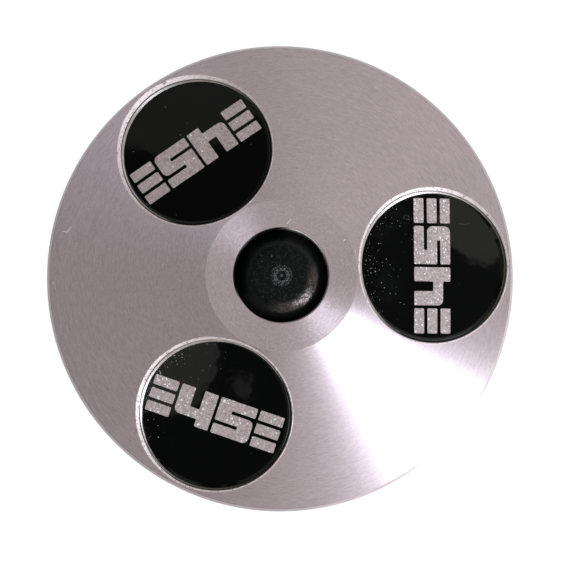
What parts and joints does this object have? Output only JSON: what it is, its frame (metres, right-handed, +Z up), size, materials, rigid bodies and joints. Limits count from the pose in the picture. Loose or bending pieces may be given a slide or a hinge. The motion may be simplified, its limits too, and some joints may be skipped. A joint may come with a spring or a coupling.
{
  "type": "record spindle adapter",
  "caption": "Turned aluminium disc with a conical top, round glossy badges in pockets and a plugged spindle bore, which centres a large-hole record on a record player's spindle.",
  "frame": {"origin": "on the axis of the spindle bore, at the underside", "axes": "+Z up along the bore, +X through the middle of badge_1"},
  "size_m": [0.038, 0.038, 0.0108],
  "materials": {
    "turned_aluminium": "bare metal with fine concentric turning marks",
    "badge_gloss_black": "mirror-gloss black with a silvery edge",
    "badge_print": "silver glitter print",
    "plug_black": "scuffed satin black moulding"
  },
  "bodies": {
    "root": {"adapter_body": "turned_aluminium", "badge_1": "badge_gloss_black", "badge_2": "badge_gloss_black", "badge_3": "badge_gloss_black", "centre_plug": "plug_black"}
  },
  "joints": []
}
